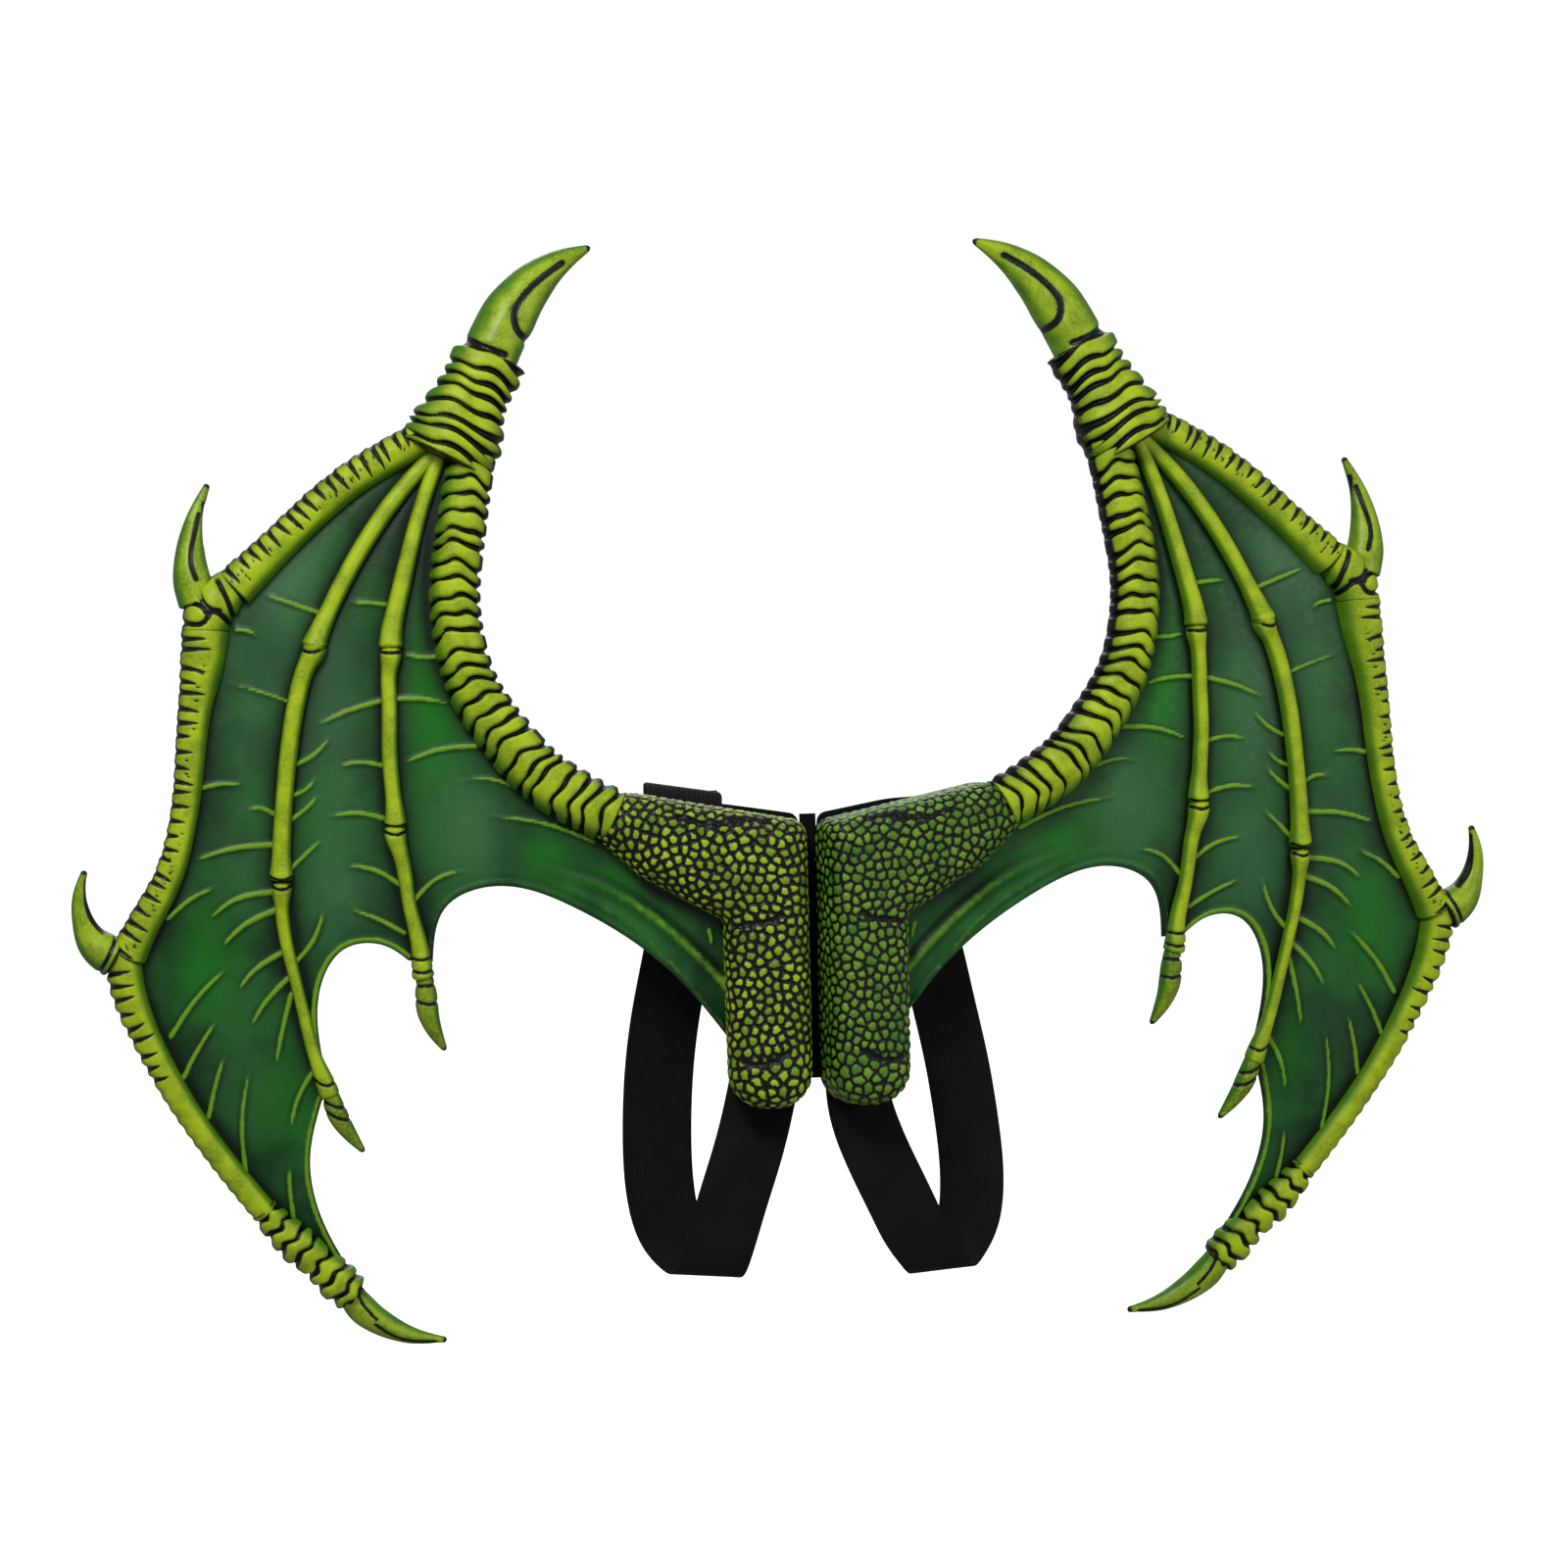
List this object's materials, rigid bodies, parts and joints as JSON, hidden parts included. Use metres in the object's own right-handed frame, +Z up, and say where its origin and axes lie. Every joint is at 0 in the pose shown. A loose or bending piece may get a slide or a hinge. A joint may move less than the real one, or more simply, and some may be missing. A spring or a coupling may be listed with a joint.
{
  "type": "dragon costume wings",
  "caption": "Pair of moulded foam dragon wings with clawed bones and webbed membranes, hinged at a black centre web, with elastic shoulder loops.",
  "frame": {"origin": "on the back face of the centre web, at the middle of its width, level with the middle of the shoulder pads", "axes": "+Z up, +X to the wearer's right, +Y towards the wearer's back; the decorated face looks along -Y"},
  "size_m": [0.836, 0.1277, 0.6319],
  "materials": {
    "membrane_foam": "satin, dark green, airbrushed",
    "bone_foam": "satin lime green with black washed into the grooves",
    "claw_foam": "satin lime green with dark streaks",
    "scaly_foam": "lime dry-brushed scales on black",
    "black_felt": "black bonded felt",
    "elastic_webbing": "ribbed black elastic",
    "black_plastic": "moulded black",
    "spring_steel": "drawn wire"
  },
  "bodies": {
    "root": {"centre_web": "black_felt"},
    "left_wing": {"left_wing_membrane": "membrane_foam", "left_shoulder_pad": "scaly_foam", "left_edge_wire": "spring_steel", "left_wrist_collar": "bone_foam", "left_thumb_claw": "claw_foam", "left_inner_arm": "bone_foam", "left_elbow_knuckle": "bone_foam", "left_upper_leading_bone": "bone_foam", "left_elbow_spur": "claw_foam", "left_middle_leading_bone": "bone_foam", "left_lower_leading_bone": "bone_foam", "left_outer_spur": "claw_foam", "left_tip_knuckle": "bone_foam", "left_tip_claw": "claw_foam", "left_second_finger_upper": "bone_foam", "left_second_finger_middle": "bone_foam", "left_second_finger_lower": "bone_foam", "left_second_finger_claw": "claw_foam", "left_third_finger_upper": "bone_foam", "left_third_finger_middle": "bone_foam", "left_third_finger_lower": "bone_foam", "left_third_finger_claw": "claw_foam", "left_backing_plate": "black_felt", "left_shoulder_loop": "elastic_webbing", "left_upper_tab": "elastic_webbing", "left_lower_tab": "elastic_webbing"},
    "left_slider_body": {"left_slider": "black_plastic"},
    "right_wing": {"right_wing_membrane": "membrane_foam", "right_shoulder_pad": "scaly_foam", "right_edge_wire": "spring_steel", "right_wrist_collar": "bone_foam", "right_thumb_claw": "claw_foam", "right_inner_arm": "bone_foam", "right_elbow_knuckle": "bone_foam", "right_upper_leading_bone": "bone_foam", "right_elbow_spur": "claw_foam", "right_middle_leading_bone": "bone_foam", "right_lower_leading_bone": "bone_foam", "right_outer_spur": "claw_foam", "right_tip_knuckle": "bone_foam", "right_tip_claw": "claw_foam", "right_second_finger_upper": "bone_foam", "right_second_finger_middle": "bone_foam", "right_second_finger_lower": "bone_foam", "right_second_finger_claw": "claw_foam", "right_third_finger_upper": "bone_foam", "right_third_finger_middle": "bone_foam", "right_third_finger_lower": "bone_foam", "right_third_finger_claw": "claw_foam", "right_backing_plate": "black_felt", "right_shoulder_loop": "elastic_webbing", "right_upper_tab": "elastic_webbing", "right_lower_tab": "elastic_webbing"},
    "right_slider_body": {"right_slider": "black_plastic"}
  },
  "joints": [
    {"name": "left_wing_fold", "type": "hinge", "parent": "root", "child": "left_wing", "pos_m": [-0.005, 0, 0], "axis": [0, 0, -1], "range_deg": [-10, 40], "stiffness_Nm_per_rad": 0.05},
    {"name": "right_wing_fold", "type": "hinge", "parent": "root", "child": "right_wing", "pos_m": [0.005, 0, 0], "axis": [0, 0, 1], "range_deg": [-10, 40], "stiffness_Nm_per_rad": 0.05},
    {"name": "left_slider_travel", "type": "slide", "parent": "left_wing", "child": "left_slider_body", "axis": [0, 0, -1], "range_m": [0, 0.027]},
    {"name": "right_slider_travel", "type": "slide", "parent": "right_wing", "child": "right_slider_body", "axis": [0, 0, -1], "range_m": [-0.012, 0]}
  ]
}
